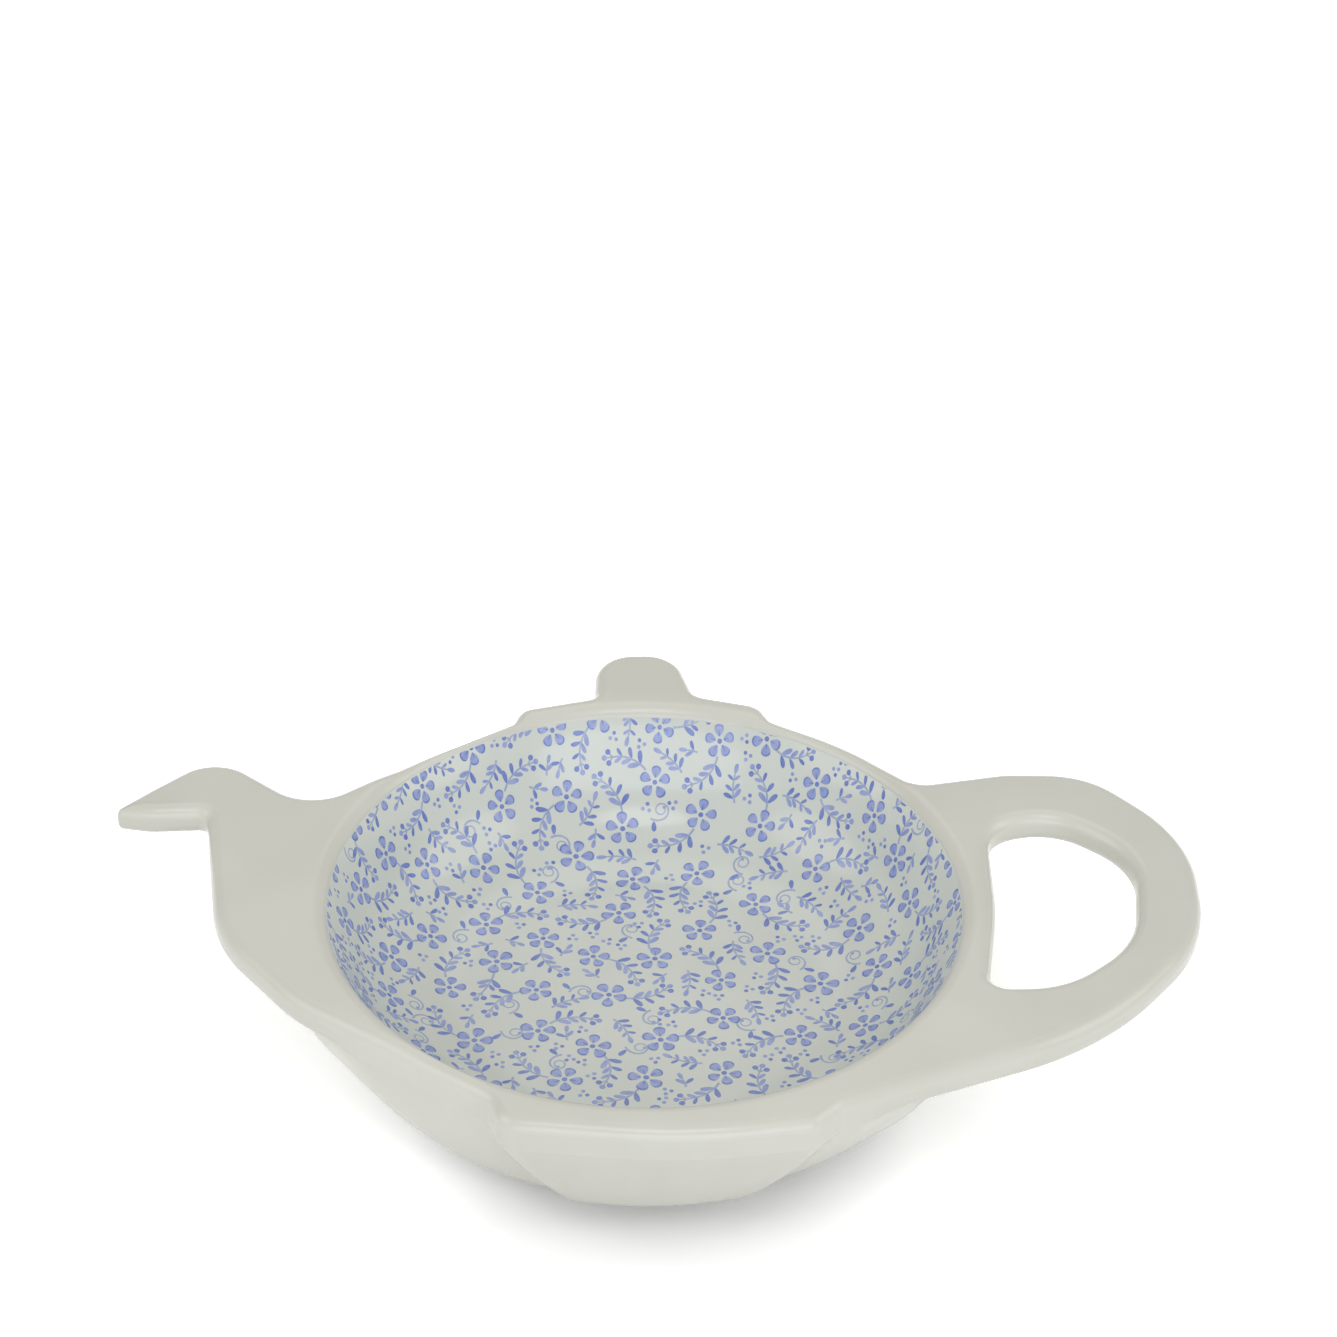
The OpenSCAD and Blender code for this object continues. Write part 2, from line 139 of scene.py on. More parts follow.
HOLE_CORNERS = scaled(
    [(-0.11, -0.72, 0.13), (0.015, -0.1, 3), (0.03, 0.55, 0.29), (0.49, 0.64, 0.6), (1.02, 0.31, 0.68),
     (0.92, -0.38, 0.86), (0.385, -0.72, 0.88)],
    HOLE_X, HOLE_SPAN, HANDLE_RISE, HOLE_SPAN)
OUTLINE = [
    (polar(1.025 * BODY_R, 33), 0.08 * BODY_R),
    (polar(1.012 * BODY_R, 50), 0.95 * BODY_R),
    (Vector((LID_SHIFT + lid_foot, lid_foot_y)), EDGE_R),
    (Vector((LID_SHIFT + LID_HALF - 0.1 * EDGE_R, lid_corner_y)), 3 * EDGE_R),
    (Vector((KNOB_SHIFT + KNOB_HALF + 1.4 * EDGE_R, neck_y)), 0.5 * KNOB_HALF),
    (Vector((KNOB_SHIFT + KNOB_HALF, KNOB_TOP)), 0.98 * KNOB_HALF, 0.7),
    (Vector((KNOB_SHIFT - KNOB_HALF, KNOB_TOP)), 0.98 * KNOB_HALF, 0.7),
    (Vector((KNOB_SHIFT - KNOB_HALF - 0.3 * EDGE_R, neck_y - 0.15 * EDGE_R)), 0.26 * KNOB_HALF),
    (Vector((LID_SHIFT - LID_HALF, lid_corner_y - 0.15 * EDGE_R)), 3 * EDGE_R),
    (Vector((LID_SHIFT - lid_foot, lid_foot_y)), EDGE_R),
    (polar(0.987 * BODY_R, 131), 0.95 * BODY_R),
    (Vector((-BODY_R - 0.02 * SPOUT_SPAN, 0.69 * SPOUT_RISE)), 0.22 * SPOUT_RISE),
    *SPOUT_CORNERS,
    (polar(1.145 * BODY_R, 205), 0.5 * BODY_R),
    (polar(1.01 * BODY_R, 228.5), 0.8 * BODY_R),
    (PANEL[0], 2 * EDGE_R),
    (PANEL[1], 2.2 * EDGE_R),
    (PANEL[2], 1.6 * BASE_Y),
    (PANEL[3], 1.3 * EDGE_R),
    (PANEL[4], 1.5 * EDGE_R),
    (polar(1.175 * BODY_R, -46.5), 1.2 * BODY_R),
    *HANDLE_CORNERS,
]
TIP = SPOUT_CORNERS[2][0]
# Where the wall of the well meets the rounding of its mouth
WALL_TOP = WELL_R - MOUTH_ROUND * math.sin(WALL_SLOPE)


def rounded(corners):
    """The arc that rounds each corner, as a list of points with an odd count.
    It takes no more than a share of each side: 0.49, or the corner's own."""
    out = []
    for i, corner in enumerate(corners):
        b, wanted = corner[0], corner[1]
        most = corner[2] if len(corner) > 2 else 0.49
        a, c = corners[i - 1][0], corners[(i + 1) % len(corners)][0]
        u, v = (a - b).normalized(), (c - b).normalized()
        half = math.acos(max(-1.0, min(1.0, u.dot(v)))) / 2
        reach = min(wanted / math.tan(half), most * (a - b).length, most * (c - b).length)
        r = reach * math.tan(half)
        middle = b + (u + v).normalized() * (r / math.sin(half))
        start, stop = b + u * reach - middle, b + v * reach - middle
        first = math.atan2(start.y, start.x)
        sweep = (math.atan2(stop.y, stop.x) - first + 3 * math.pi) % (2 * math.pi) - math.pi
        count = 2 * max(1, math.ceil(max(abs(sweep) / ARC_STEP, abs(sweep) * r / STEP) / 2))
        out.append([middle + Vector((r * math.cos(first + sweep * k / count),
                                     r * math.sin(first + sweep * k / count))) for k in range(count + 1)])
    return out


def filled(points):
    """The same run with points along its straight stretches too."""
    out = []
    for p, q in zip(points, points[1:]):
        n = max(1, round((q - p).length / STEP))
        out += [p.lerp(q, k / n) for k in range(n)]
    return out + [points[-1]]


def run(arcs, a, b):
    """The outline from the middle of arc a to the middle of arc b."""
    stop = b if b > a else b + len(arcs)
    points = arcs[a][len(arcs[a]) // 2:]
    for i in range(a + 1, stop):
        points = points + arcs[i % len(arcs)]
    return filled(points + arcs[b % len(arcs)][:len(arcs[b % len(arcs)]) // 2 + 1])


outer, hole = rounded(OUTLINE), rounded(HOLE_CORNERS)
RUNS = {
    "back_right": run(outer, 0, 4),
    "knob": run(outer, 4, 7),
    "back_left": run(outer, 7, 11),
    "spout": run(outer, 11, 18),
    "front": run(outer, 18, 25),
    "bow": run(outer, 25, 0),
    "hole_bowl": run(hole, 0, 2),
    "hole_bow": run(hole, 2, 0),
}
LOOP = ["back_right", "knob", "back_left", "spout", "front", "bow"]
BRANCHES = ("knob", "spout", "bow", "hole_bow")


def ease(x):
    """Rises softly from 0 to 1 as x does."""
    x = max(0.0, min(1.0, x))
    return x * x * (3 - 2 * x)


def columns(name):
    """One column of the rim for each point of a run: place, outward direction, rounding, how far the
    underside tucks in. Around the bowl the rim runs straight down into the wall."""
    points = RUNS[name]
    if name in LOOP:
        k = LOOP.index(name)
        before, after = RUNS[LOOP[k - 1]], RUNS[LOOP[(k + 1) % len(LOOP)]]
    else:
        before = after = RUNS["hole_bow" if name == "hole_bowl" else "hole_bowl"]
    along = [0.0]
    for p, q in zip(points, points[1:]):
        along.append(along[-1] + (q - p).length)
    out = []
    for i, p in enumerate(points):
        a = before[-2] if i == 0 else points[i - 1]
        c = after[1] if i == len(points) - 1 else points[i + 1]
        d = (p - a).normalized() + (c - p).normalized()
        # The rounding gets smaller towards the spout's tip and where the ledge is narrow
        rounding = min(EDGE_R, max(0.7 * TIP_R, 0.42 * (p - TIP).length), p.length - WALL_TOP - 0.3 * EDGE_R)
        tuck = 1.0 if name in BRANCHES else 1 - ease(min(along[i], along[-1] - along[i]) / FADE)
        out.append((p, Vector((d.y, -d.x)).normalized(), rounding, tuck))
    return out


COLUMNS = {name: columns(name) for name in RUNS}


def mouth_slope(r):
    """Slope of the well's rounded mouth at a radius, 0 where it is level."""
    return math.asin(max(0.0, min(1.0, (WELL_R - r) / MOUTH_ROUND)))


# Angles round a quarter of the edge's rounding
ROLL = [math.radians(a) for a in (90, 78, 66, 54, 42, 30, 18, 6)]


def rim(column):
    """The rim's section at a column, from the deck over the edge to the underside. The edge turns only as
    far as its rounding reaches inwards, so it stays a ridge near the spout's tip."""
    p, n, reach, tuck = column
    fall = MOUTH_ROUND * (1 - math.cos(mouth_slope((p - n * reach).length)))
    turn = math.acos(1 - reach / EDGE_R) / ROLL[0]
    high, low = DISH_H - EDGE_R, DISH_H - PLATE_T + EDGE_R
    section = [(p - n * EDGE_R * (1 - math.cos(a * turn)), high + (EDGE_R - fall) * math.sin(a * turn))
               for a in ROLL]
    section += [(p, high), (p, low)]
    section += [(p - n * tuck * EDGE_R * (1 - math.cos(a * turn)), low - EDGE_R * math.sin(a * turn))
                for a in reversed(ROLL)]
    return [Vector((q.x, q.y, z)) for q, z in section]


SECTIONS = {name: [rim(c) for c in COLUMNS[name]] for name in RUNS}


def tops(name):
    """The run's line where the deck meets its edge."""
    return [s[0] for s in SECTIONS[name]]


def lows(name):
    """The run's line where the edge meets the underside."""
    return [s[-1] for s in SECTIONS[name]]


def root(p, q):
    """Points between two columns, where the knob, the spout or the handle grows out of the bowl."""
    a, b = math.atan2(p.y, p.x), math.atan2(q.y, q.x)
    if b < a:
        b += 2 * math.pi
    ra, rb = math.hypot(p.x, p.y), math.hypot(q.x, q.y)
    n = max(3, round((q - p).length / ROOT_STEP))
    out = []
    for k in range(1, n):
        r, angle = ra + (rb - ra) * k / n, a + (b - a) * k / n
        out.append(Vector((r * math.cos(angle), r * math.sin(angle), p.z + (q.z - p.z) * k / n)))
    return out


AROUND = ["back_right", "back_left", "front", "hole_bowl"]


def bowl_loop(points_of):
    """The loop around the bowl, and how far each of its points is from open rim, as a share."""
    loop, inner = [], []
    for k, name in enumerate(AROUND):
        here, there = points_of(name), points_of(AROUND[(k + 1) % len(AROUND)])
        between = root(here[-1], there[0])
        loop += here + between
        n = len(between) + 1
        inner += [0.0] * len(here) + [math.sin(math.pi * i / n) for i in range(1, n)]
    return loop, inner


top_loop, _ = bowl_loop(tops)
low_loop, under_branch = bowl_loop(lows)
angles = [math.atan2(p.y, p.x) for p in top_loop]


def ring(r, z):
    """A level circle with a point below each point of the bowl's loop."""
    return [Vector((r * math.cos(a), r * math.sin(a), z)) for a in angles]


# The well's section, as the slope of the surface, its radius and its height
wall_reach = WELL_R - MOUTH_ROUND * math.sin(WALL_SLOPE) - FLOOR_R
wall_rise = WELL_DEPTH - MOUTH_ROUND * (1 - math.cos(WALL_SLOPE))
steep = math.tan(WALL_SLOPE)
CURVE_R = (wall_reach * steep - wall_rise) / (math.sin(WALL_SLOPE) * steep - 1 + math.cos(WALL_SLOPE))
FLOOR_Z = DISH_H - WELL_DEPTH
CURVE_LENGTH = CURVE_R * WALL_SLOPE
CURVE_END = FLOOR_R + CURVE_R * math.sin(WALL_SLOPE)
WALL_LENGTH = (FLOOR_R + wall_reach - CURVE_END) / math.cos(WALL_SLOPE)
# Length of the well's section from the middle of its floor to the end of the print
PRINT_REACH = FLOOR_R + CURVE_LENGTH + WALL_LENGTH
# Rings of points on the well's floor
FLOOR_RINGS = [8, 16, 22, FLOOR_R - 1]
# The print's ground lies in the well: its thickness, and how deep the dish's own surface is below its face
GROUND_T = 0.12
GROUND_SINK = 0.06


def well_section(reach, lift=0.0):
    """Radius and height of the well at a distance along its section, lift above its surface."""
    if reach <= FLOOR_R:
        return reach, FLOOR_Z + lift
    a = min(WALL_SLOPE, (reach - FLOOR_R) / CURVE_R)
    beyond = max(0.0, reach - FLOOR_R - CURVE_LENGTH)
    r = FLOOR_R + (CURVE_R - lift) * math.sin(a) + beyond * math.cos(a)
    return r, FLOOR_Z + CURVE_R - (CURVE_R - lift) * math.cos(a) + beyond * math.sin(a)


def mouth_section(slope):
    """Radius and height of the rounded mouth where it has a slope."""
    return WELL_R - MOUTH_ROUND * math.sin(slope), DISH_H - MOUTH_ROUND * (1 - math.cos(slope))


def deselect():
    """Leaves edit mode and selects nothing."""
    if bpy.context.object and bpy.context.object.mode != "OBJECT":
        bpy.ops.object.mode_set(mode="OBJECT")
    bpy.ops.object.select_all(action="DESELECT")


def place(piece, points, middle=WELL):
    """Sets a new primitive's vertices, from millimetres about the well to the part's frame."""
    flat = [c * MM for p in points for c in (p + middle)]
    piece.data.vertices.foreach_set("co", flat)
    piece.data.update()


def band(rows, closed=True, middle=WELL):
    """A grid bent along rows of points. A closed one runs right round and meets itself."""
    rows = [list(row) + ([row[0]] if closed else []) for row in rows]
    deselect()
    bpy.ops.mesh.primitive_grid_add(x_subdivisions=len(rows[0]) - 1, y_subdivisions=len(rows) - 1)
    piece = bpy.context.object
    place(piece, [p for row in rows for p in row], middle)
    return piece


def cap(loop, middle=WELL):
    """One flat face inside a loop of points."""
    deselect()
    bpy.ops.mesh.primitive_circle_add(vertices=len(loop), fill_type="NGON")
    piece = bpy.context.object
    place(piece, loop, middle)
    return piece


def joined(name, pieces):
    """Joins pieces that share edges into one closed shell with its faces outwards."""
    deselect()
    for piece in pieces:
        piece.select_set(True)
    bpy.context.view_layer.objects.active = pieces[0]
    bpy.ops.object.join()
    piece = bpy.context.object
    piece.name = piece.data.name = name
    deselect()
    piece.select_set(True)
    bpy.ops.object.transform_apply(location=True, rotation=True, scale=True)
    bpy.ops.object.mode_set(mode="EDIT")
    bpy.ops.mesh.select_all(action="SELECT")
    bpy.ops.mesh.remove_doubles(threshold=0.000004)
    bpy.ops.mesh.normals_make_consistent(inside=False)
    bpy.ops.object.mode_set(mode="OBJECT")
    bpy.ops.object.shade_smooth()
    return piece


def mixed(p, q, share):
    return p + (q - p) * share


def outside_rows():
    """Rows from the underside of the ledge down the wall, round the turn and under to the foot."""
    full = [a if a >= 0 else a + 2 * math.pi for a in angles]

    def angle(v):
        a = math.atan2(v.y, v.x)
        return a if a >= 0 else a + 2 * math.pi

    front = RUNS["front"]
    marks = [angle(v) for v in (front[0], PANEL[0], PANEL[1], PANEL[3], PANEL[4], front[-1])]
    toe = math.asin(TOE_HALF / TURN_R)
    targets = [(marks[0], marks[0]), (marks[1], TOE_AIM - toe), (marks[4], TOE_AIM + toe),
               (marks[5], marks[5])]
    outs = [(marks[1], 0), (marks[2], TOE_OUT), (marks[3], TOE_OUT), (marks[4], 0)]

    def lookup(a, table):
        for (x0, y0), (x1, y1) in zip(table, table[1:]):
            if x0 <= a <= x1:
                return y0 + (y1 - y0) * (a - x0) / (x1 - x0)
        return None

    low_angles = [lookup(a, targets) or a for a in full]
    low_outs = [lookup(a, outs) or 0.0 for a in full]

    def low_ring(r, z, out=0.0):
        return [Vector(((r + out * o) * math.cos(a), (r + out * o) * math.sin(a), z))
                for a, o in zip(low_angles, low_outs)]

    turn = low_ring(TURN_R, TURN_H, 1.0)
    under = low_ring(0.92 * TURN_R, FOOT_H + 0.15 * (TURN_H - FOOT_H), 0.5)
    foot = low_ring(FOOT_R, FOOT_H)

    def wall(s):
        row = []
        for p, q, inner in zip(low_loop, turn, under_branch):
            away = Vector((p.x, p.y, 0)).normalized()
            flare = FLARE * inner * max(0.0, 1 - s / FLARE_SHARE) ** 2
            row.append(mixed(p, q, s) + away * (4 * BULGE * s * (1 - s) + flare))
        return row

    rows = [wall(s) for s in (0, 0.02, 0.05, 0.09, 0.14, 0.22, 0.32, 0.44, 0.56, 0.68, 0.78, 0.86)]
    start, stop = rows[-1], [mixed(q, u, 0.4) for q, u in zip(turn, under)]
    for k in range(1, 7):
        t = k / 6
        rows.append([(1 - t) ** 2 * a + 2 * t * (1 - t) * b + t * t * c
                     for a, b, c in zip(start, turn, stop)])
    rows.append(under)
    rows.append([mixed(u, f, 0.85) for u, f in zip(under, foot)])
    # The foot ring's flank: how far inside the ring's radius, and how high. The inner one mirrors it
    flank = [(-0.15, FOOT_H - 0.12), (0, FOOT_H - 0.5), (0, WIPE_H), (0.05, 0.35), (0.3, 0.1), (0.7, 0)]
    rows += [low_ring(FOOT_R - x, z) for x, z in flank]
    rows += [low_ring(FOOT_R - FOOT_W + x, z) for x, z in reversed(flank)]
    rows.append(low_ring(FOOT_R - FOOT_W - 0.5, FOOT_H))
    return rows


def make_dish():
    """The whole glazed dish as one closed shell."""
    parts = []
    reaches = FLOOR_RINGS + [FLOOR_R + CURVE_LENGTH * k / 12 for k in range(13)]
    reaches += [PRINT_REACH - WALL_LENGTH * (1 - k / 3) for k in (1, 2)] + [PRINT_REACH - 0.15]
    well = [ring(*well_section(s, -GROUND_SINK)) for s in reaches] + [ring(*mouth_section(WALL_SLOPE))]
    for k in range(1, 8):
        row = []
        for p, a in zip(top_loop, angles):
            crest = mouth_slope(math.hypot(p.x, p.y) - 0.15 * EDGE_R)
            r, z = mouth_section(WALL_SLOPE + (crest - WALL_SLOPE) * k / 7)
            row.append(Vector((r * math.cos(a), r * math.sin(a), z)))
        well.append(row)
    well.append(top_loop)
    parts += [band(well), cap(well[0])]
    for name in RUNS:
        sections = SECTIONS[name]
        parts.append(band([[s[k] for s in sections] for k in range(len(sections[0]))], closed=False))
    outside = outside_rows()
    parts += [band(outside), cap(outside[-1])]

    def between(points_of, a, b, flared):
        here = root(points_of(a)[-1], points_of(b)[0])
        if flared:
            n = len(here) + 1
            here = [p + Vector((p.x, p.y, 0)).normalized() * FLARE * math.sin(math.pi * (i + 1) / n)
                    for i, p in enumerate(here)]
        return list(reversed(here))

    for points_of, flared in ((tops, False), (lows, True)):
        parts.append(cap(points_of("knob") + between(points_of, "back_right", "back_left", flared)))
        parts.append(cap(points_of("spout") + between(points_of, "back_left", "front", flared)))
        parts.append(cap(points_of("bow") + between(points_of, "hole_bowl", "back_right", flared)
                         + points_of("hole_bow") + between(points_of, "front", "hole_bowl", flared)))
    dish = joined("glazed_dish", parts)
    deck = dish.modifiers.new("flat_decks", "WEIGHTED_NORMAL")
    deck.mode = "FACE_AREA"
    deck.weight = 100
    deck.keep_sharp = True
    bpy.ops.object.modifier_apply(modifier=deck.name)
    return dish


def make_lining():
    """The film of white ground that carries the print, lapping the well's surface."""
    segments = 160
    turns = [2 * math.pi * k / segments for k in range(segments)]

    def circle(reach, lift):
        r, z = well_section(reach, lift)
        return [Vector((r * math.cos(a), r * math.sin(a), z)) for a in turns]

    reaches = FLOOR_RINGS + [FLOOR_R + CURVE_LENGTH * k / 14 for k in range(15)]
    reaches += [PRINT_REACH - WALL_LENGTH * 0.5, PRINT_REACH - 0.1]
    rows = [circle(s, 0.0) for s in reaches] + [circle(PRINT_REACH, -0.25 * GROUND_T)]
    rows += [circle(s, -GROUND_T) for s in reversed(reaches)]
    return joined("print_ground", [band(rows), cap(rows[0]), cap(rows[-1])])


# The print is drawn on a flat disc, in millimetres from the middle of the well, and then laid into the well.
# Each kind of mark lies at a height of its own, and so does each copy, so marks that touch share no surface.
FLAT = Vector((0, 0, 0))
STEM_LIFT, LEAF_LIFT, PETAL_LIFT, ACCENT_LIFT = 0.020, 0.030, 0.040, 0.052
TINY_LIFT = 0.0008
# Thickness of the ink, which reaches down into the ground
FILM = 0.065
FLOWER_R = 2.8
FLOWER_SPACING = 8.7
# A flower's own sprig starts just inside its petals' tips
SPRIG_START = FLOWER_R - 0.35
# Where the marks are cut off, and how far outside it a flower or sprig may still lie
PRINT_EDGE = PRINT_REACH - 0.25
OVERHANG = 1.0


def turned(points, degrees, at=(0, 0)):
    """Points of the flat print turned about the origin and then moved."""
    a = math.radians(degrees)
    c, s = math.cos(a), math.sin(a)
    return [(at[0] + x * c - y * s, at[1] + x * s + y * c) for x, y in points]


def egg(length, width, fullness=0.35, bow=0.0, count=14):
    """A petal or leaf along +X from the origin: narrow at the heel, rounder at the far end."""
    out = []
    for k in range(count):
        a = 2 * math.pi * k / count
        x = (1 - math.cos(a)) / 2
        out.append((length * x, -width / 2 * math.sin(a) * x ** fullness * 1.15 + bow * length * x * (1 - x)))
    return out


def disc(r):
    """A round dot with ten corners."""
    turns = [2 * math.pi * k / 10 for k in range(10)]
    return [(r * math.cos(a), r * math.sin(a)) for a in turns]


def mark(points, lift, ink):
    """One filled mark of the print."""
    piece = cap([Vector((x, y, lift)) for x, y in points], FLAT)
    piece.data.materials.append(ink)
    return piece


def stroke(points, start, stop, lift, ink):
    """A pen line through points, start and stop millimetres wide at its ends."""
    left, right = [], []
    for i, (x, y) in enumerate(points):
        a, b = points[max(0, i - 1)], points[min(len(points) - 1, i + 1)]
        d = Vector((b[0] - a[0], b[1] - a[1])).normalized()
        w = (start + (stop - start) * i / (len(points) - 1)) / 2
        left.append(Vector((x - d.y * w, y + d.x * w, lift)))
        right.append(Vector((x + d.y * w, y - d.x * w, lift)))
    piece = band([right, left], False, FLAT)
    piece.data.materials.append(ink)
    return piece


def arc_line(length, bend, at=(0, 0), heading=0.0, step=0.6):
    """Points and headings along a line that bends evenly by a number of degrees."""
    n = max(3, round(length / step))
    points, headings = [at], [heading]
    for k in range(n):
        heading += bend / n
        a = math.radians(heading)
        points.append((points[-1][0] + length / n * math.cos(a), points[-1][1] + length / n * math.sin(a)))
        headings.append(heading)
    return points, headings


def master(name, marks):
    """Joins marks into one piece to be copied, hidden from the render."""
    piece = joined(name, marks)
    piece.hide_render = True
    return piece


def flower_master(name, inks, rng):
    """Five separate petals around a dot."""
    dark, mid, _ = inks
    marks = []
    for k in range(5):
        turn = 72 * k + rng.uniform(-5, 5)
        length, width = rng.uniform(1.95, 2.15), rng.uniform(1.75, 1.95)
        petal = egg(length, width, 0.42)
        heel = turned([(FLOWER_R - 2.1, 0)], turn)[0]
        marks.append(mark(turned(petal, turn, heel), PETAL_LIFT + k * TINY_LIFT, mid))
        # A darker crescent where the ink gathers at the petal's end, and a vein from its heel
        outer = petal[4:11]
        inner = [(0.25 + 0.74 * x, 0.8 * y) for x, y in reversed(outer[1:-1])]
        marks.append(mark(turned(outer + inner, turn, heel), ACCENT_LIFT, dark))
        vein = turned([(0.15, 0), (0.55, 0.03), (0.95, 0.0)], turn, heel)
        marks.append(stroke(vein, 0.26, 0.1, ACCENT_LIFT, dark))
    marks.append(mark(disc(0.42), ACCENT_LIFT + TINY_LIFT, dark))
    return master(name, marks)


def leaf_pairs(points, headings, shares, size, inks, rng):
    """Pairs of leaves along a stem, smaller towards its end, one leaf of each pair in the darker ink."""
    dark, mid, _ = inks
    marks = []
    for n, share in enumerate(shares):
        i = round(share * (len(points) - 1))
        scale = size * (1 - 0.3 * n / max(1, len(shares) - 1))
        for side in (-1, 1):
            turn = headings[i] + side * rng.uniform(42, 54)
            leaf = egg(2.3 * scale, 0.92 * scale, 0.25, side * -0.12, 12)
            heel = turned([(0.16, side * 0.1)], headings[i], points[i])[0]
            lift = LEAF_LIFT + len(marks) * TINY_LIFT
            marks.append(mark(turned(leaf, turn, heel), lift, mid if side > 0 else dark))
    return marks


def berries(at, heading, size, inks):
    """Three round buds on short stalks at the end of a stem."""
    dark, mid, pale = inks
    marks = []
    for k, (turn, reach) in enumerate(((-48, 1.25), (0, 1.6), (48, 1.25))):
        line, _ = arc_line(reach * size, turn * 0.3, at, heading + turn * 0.8, 0.5)
        marks.append(stroke(line, 0.26, 0.22, STEM_LIFT + (k + 1) * TINY_LIFT, pale))
        bud = turned(disc(0.5 * size), 0, line[-1])
        marks.append(mark(bud, LEAF_LIFT - (k + 1) * TINY_LIFT, dark if turn else mid))
    return marks


def sprig_master(name, length, bend, shares, size, start, inks, rng, buds=True):
    """A curved stem with paired leaves, from start millimetres out of the origin, and the room it takes."""
    dark, mid, pale = inks
    points, headings = arc_line(length, bend, (start, 0))
    marks = [stroke(points, 0.36, 0.26, STEM_LIFT, pale)]
    marks += leaf_pairs(points, headings, shares, size, inks, rng)
    room = [points[round(s * (len(points) - 1))] + (1.75 * size,) for s in shares]
    if buds:
        marks += berries(points[-1], headings[-1], size, inks)
        room.append(turned([(0.9 * size, 0)], headings[-1], points[-1])[0] + (1.5 * size,))
    else:
        leaf = egg(2.2 * size, 0.95 * size, 0.25)
        marks.append(mark(turned(leaf, headings[-1], points[-1]), LEAF_LIFT, mid))
        room.append(turned([(1.1 * size, 0)], headings[-1], points[-1])[0] + (0.9 * size,))
    return master(name, marks), room


def tendril_master(name, inks):
    """A thin line that curls up, with one leaf at its foot."""
    dark, mid, pale = inks
    points, heading = [(-1.9, -0.9)], 20.0
    for k in range(30):
        heading += 6 + 0.75 * k
        points.append((points[-1][0] + 0.33 * math.cos(math.radians(heading)),
                       points[-1][1] + 0.33 * math.sin(math.radians(heading))))
    marks = [stroke(points, 0.34, 0.2, STEM_LIFT, pale),
             mark(turned(disc(0.27), 0, points[-1]), LEAF_LIFT, mid),
             mark(turned(egg(1.7, 0.8, 0.25), -38, (-1.2, -0.75)), LEAF_LIFT, dark)]
    return master(name, marks), [(-0.6, -0.1, 1.5), (0.5, 0.2, 1.2)]


def dots_master(name, inks):
    """Three dots, and the room they take."""
    dark, mid, _ = inks
    spots = [turned([(0.62, 0)], 90 + 120 * k)[0] for k in range(3)]
    marks = [mark(turned(disc(0.33), 0, spot), LEAF_LIFT, ink) for spot, ink in zip(spots, (dark, mid, mid))]
    return master(name, marks), [(0, 0, 0.95)]


class Sheet:
    """The flat print: what has been put where, and how much room is left."""
    # Side of the squares that the taken places are filed in
    CELL = 4.0

    def __init__(self):
        self.taken = {}
        self.copies = []

    def cell(self, x, y):
        return math.floor(x / self.CELL), math.floor(y / self.CELL)

    def gap(self, x, y, r):
        """Least distance from a disc to the discs that are taken."""
        cx, cy = self.cell(x, y)
        near = [d for i in range(cx - 2, cx + 3) for j in range(cy - 2, cy + 3)
                for d in self.taken.get((i, j), ())]
        return min((math.hypot(x - d[0], y - d[1]) - r - d[2] for d in near), default=9.0)

    def take(self, x, y, r):
        """Files a disc as taken."""
        self.taken.setdefault(self.cell(x, y), []).append((x, y, r))

    def room_for(self, room, x, y, degrees, mirror):
        """The discs that a mark would take there."""
        spots = turned([(a, b * mirror) for a, b, _ in room], degrees, (x, y))
        return [(p[0], p[1], d[2]) for p, d in zip(spots, room)]

    def put(self, piece, x, y, degrees, mirror=1, scale=1.0):
        """Adds a copy with a mesh of its own."""
        copy = piece.copy()
        copy.data = piece.data.copy()
        copy.hide_render = False
        bpy.context.scene.collection.objects.link(copy)
        # One of eleven small lifts, far apart for copies that follow each other
        lift = 7 * len(self.copies) % 11 * TINY_LIFT / 2 * MM
        turn = Matrix.Rotation(math.radians(degrees), 4, "Z")
        size = Matrix.Diagonal((scale, scale * mirror, 1, 1))
        copy.matrix_world = Matrix.Translation((x * MM, y * MM, lift)) @ turn @ size
        self.copies.append(copy)


